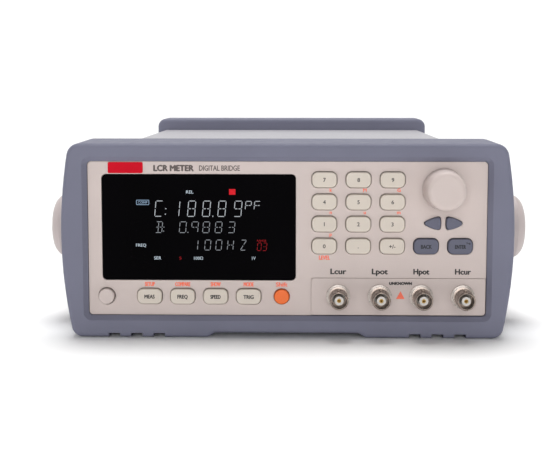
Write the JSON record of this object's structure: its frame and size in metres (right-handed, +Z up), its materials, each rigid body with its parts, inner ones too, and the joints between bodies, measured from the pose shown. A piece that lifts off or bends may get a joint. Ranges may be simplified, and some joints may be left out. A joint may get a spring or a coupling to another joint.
{
  "type": "lcr meter",
  "caption": "Bench LCR meter in a half-rack case with bumpers, display window, keypad, knob, coaxial measuring jacks and a swinging carrying handle.",
  "frame": {"origin": "middle of the footprint, on the surface that the feet stand on", "axes": "+Z up, front panel faces -Y, +X to the right of a person facing the panel"},
  "size_m": [0.2694, 0.3616, 0.1066],
  "materials": {
    "bumper": "matte, lightly textured",
    "case_paint": "fine texture powder coat",
    "chassis_steel": "plain",
    "panel_plastic": "matte",
    "key_plastic": "matte",
    "blue_gray_plastic": "matte",
    "orange_plastic": "matte",
    "window": "polished",
    "display_frame": "plain",
    "circuit_board": "solder resist",
    "silicone": "matte",
    "nickel": "nickel plated",
    "white_insulator": "smooth",
    "gold": "plated",
    "cable_jacket": "smooth",
    "gray_ribbon": "smooth",
    "black_plastic": "matte",
    "steel": "plain",
    "heat_sink_metal": "extruded",
    "handle_plastic": "matte"
  },
  "bodies": {
    "meter": {"bnc_bodies": "nickel", "bnc_contacts": "gold", "bnc_insulators": "white_insulator", "bnc_leads": "cable_jacket", "bnc_nuts": "nickel", "bottom_chassis": "chassis_steel", "case_screws": "steel", "display_board": "circuit_board", "display_module": "display_frame", "display_window": "window", "encoder": "nickel", "fan_frame": "black_plastic", "front_bumper": "bumper", "front_panel": "panel_plastic", "ground_post": "nickel", "handler_connector": "nickel", "heat_sink": "heat_sink_metal", "key_mat": "silicone", "keypad_board": "circuit_board", "main_board": "circuit_board", "mains_inlet": "black_plastic", "pivot_bosses": "bumper", "pivot_studs": "steel", "rear_bumper": "bumper", "rear_panel": "case_paint", "ribbon_cable": "gray_ribbon", "serial_connector": "nickel", "shield_can": "steel", "standoffs": "steel", "terminal_plate": "panel_plastic", "top_cover": "case_paint", "transformer": "steel"},
    "back_key": {"back_key": "blue_gray_plastic"},
    "enter_key": {"enter_key": "blue_gray_plastic"},
    "function_key_1": {"function_key_1": "key_plastic"},
    "function_key_2": {"function_key_2": "key_plastic"},
    "function_key_3": {"function_key_3": "key_plastic"},
    "function_key_4": {"function_key_4": "key_plastic"},
    "key_0": {"key_0": "key_plastic"},
    "key_1": {"key_1": "key_plastic"},
    "key_2": {"key_2": "key_plastic"},
    "key_3": {"key_3": "key_plastic"},
    "key_4": {"key_4": "key_plastic"},
    "key_5": {"key_5": "key_plastic"},
    "key_6": {"key_6": "key_plastic"},
    "key_7": {"key_7": "key_plastic"},
    "key_8": {"key_8": "key_plastic"},
    "key_9": {"key_9": "key_plastic"},
    "key_point": {"key_point": "key_plastic"},
    "key_sign": {"key_sign": "key_plastic"},
    "left_key": {"left_key": "blue_gray_plastic"},
    "power_button": {"power_button": "panel_plastic"},
    "right_key": {"right_key": "blue_gray_plastic"},
    "shift_key": {"shift_key": "orange_plastic"},
    "knob": {"knob": "panel_plastic", "encoder_shaft": "steel"},
    "handle": {"handle": "handle_plastic", "hub_caps": "handle_plastic"},
    "fan_rotor": {"fan_rotor": "black_plastic"},
    "fuse_drawer": {"fuse_drawer": "black_plastic"}
  },
  "joints": [
    {"name": "back_key_press", "type": "slide", "parent": "meter", "child": "back_key", "axis": [0, 1, 0], "range_m": [0, 0.0012], "stiffness_N_per_m": 600, "springref_m": -0.0005},
    {"name": "enter_key_press", "type": "slide", "parent": "meter", "child": "enter_key", "axis": [0, 1, 0], "range_m": [0, 0.0012], "stiffness_N_per_m": 600, "springref_m": -0.0005},
    {"name": "function_key_1_press", "type": "slide", "parent": "meter", "child": "function_key_1", "axis": [0, 1, 0], "range_m": [0, 0.0012], "stiffness_N_per_m": 600, "springref_m": -0.0005},
    {"name": "function_key_2_press", "type": "slide", "parent": "meter", "child": "function_key_2", "axis": [0, 1, 0], "range_m": [0, 0.0012], "stiffness_N_per_m": 600, "springref_m": -0.0005},
    {"name": "function_key_3_press", "type": "slide", "parent": "meter", "child": "function_key_3", "axis": [0, 1, 0], "range_m": [0, 0.0012], "stiffness_N_per_m": 600, "springref_m": -0.0005},
    {"name": "function_key_4_press", "type": "slide", "parent": "meter", "child": "function_key_4", "axis": [0, 1, 0], "range_m": [0, 0.0012], "stiffness_N_per_m": 600, "springref_m": -0.0005},
    {"name": "key_0_press", "type": "slide", "parent": "meter", "child": "key_0", "axis": [0, 1, 0], "range_m": [0, 0.0012], "stiffness_N_per_m": 600, "springref_m": -0.0005},
    {"name": "key_1_press", "type": "slide", "parent": "meter", "child": "key_1", "axis": [0, 1, 0], "range_m": [0, 0.0012], "stiffness_N_per_m": 600, "springref_m": -0.0005},
    {"name": "key_2_press", "type": "slide", "parent": "meter", "child": "key_2", "axis": [0, 1, 0], "range_m": [0, 0.0012], "stiffness_N_per_m": 600, "springref_m": -0.0005},
    {"name": "key_3_press", "type": "slide", "parent": "meter", "child": "key_3", "axis": [0, 1, 0], "range_m": [0, 0.0012], "stiffness_N_per_m": 600, "springref_m": -0.0005},
    {"name": "key_4_press", "type": "slide", "parent": "meter", "child": "key_4", "axis": [0, 1, 0], "range_m": [0, 0.0012], "stiffness_N_per_m": 600, "springref_m": -0.0005},
    {"name": "key_5_press", "type": "slide", "parent": "meter", "child": "key_5", "axis": [0, 1, 0], "range_m": [0, 0.0012], "stiffness_N_per_m": 600, "springref_m": -0.0005},
    {"name": "key_6_press", "type": "slide", "parent": "meter", "child": "key_6", "axis": [0, 1, 0], "range_m": [0, 0.0012], "stiffness_N_per_m": 600, "springref_m": -0.0005},
    {"name": "key_7_press", "type": "slide", "parent": "meter", "child": "key_7", "axis": [0, 1, 0], "range_m": [0, 0.0012], "stiffness_N_per_m": 600, "springref_m": -0.0005},
    {"name": "key_8_press", "type": "slide", "parent": "meter", "child": "key_8", "axis": [0, 1, 0], "range_m": [0, 0.0012], "stiffness_N_per_m": 600, "springref_m": -0.0005},
    {"name": "key_9_press", "type": "slide", "parent": "meter", "child": "key_9", "axis": [0, 1, 0], "range_m": [0, 0.0012], "stiffness_N_per_m": 600, "springref_m": -0.0005},
    {"name": "key_point_press", "type": "slide", "parent": "meter", "child": "key_point", "axis": [0, 1, 0], "range_m": [0, 0.0012], "stiffness_N_per_m": 600, "springref_m": -0.0005},
    {"name": "key_sign_press", "type": "slide", "parent": "meter", "child": "key_sign", "axis": [0, 1, 0], "range_m": [0, 0.0012], "stiffness_N_per_m": 600, "springref_m": -0.0005},
    {"name": "left_key_press", "type": "slide", "parent": "meter", "child": "left_key", "axis": [0, 1, 0], "range_m": [0, 0.0012], "stiffness_N_per_m": 600, "springref_m": -0.0005},
    {"name": "power_button_press", "type": "slide", "parent": "meter", "child": "power_button", "axis": [0, 1, 0], "range_m": [0, 0.0015], "stiffness_N_per_m": 600, "springref_m": -0.0005},
    {"name": "right_key_press", "type": "slide", "parent": "meter", "child": "right_key", "axis": [0, 1, 0], "range_m": [0, 0.0012], "stiffness_N_per_m": 600, "springref_m": -0.0005},
    {"name": "shift_key_press", "type": "slide", "parent": "meter", "child": "shift_key", "axis": [0, 1, 0], "range_m": [0, 0.0012], "stiffness_N_per_m": 600, "springref_m": -0.0005},
    {"name": "knob_turn", "type": "hinge", "parent": "meter", "child": "knob", "pos_m": [0.0825, -0.17015, 0.0794], "axis": [0, -1, 0], "continuous": true},
    {"name": "handle_swing", "type": "hinge", "parent": "meter", "child": "handle", "pos_m": [0, -0.11115, 0.053], "axis": [-1, 0, 0], "range_deg": [0, 312]},
    {"name": "fan_spin", "type": "hinge", "parent": "meter", "child": "fan_rotor", "pos_m": [-0.058, 0.15285, 0.0536], "axis": [0, 1, 0], "continuous": true},
    {"name": "fuse_drawer_slide", "type": "slide", "parent": "meter", "child": "fuse_drawer", "axis": [0, 1, 0], "range_m": [0, 0.018]}
  ]
}
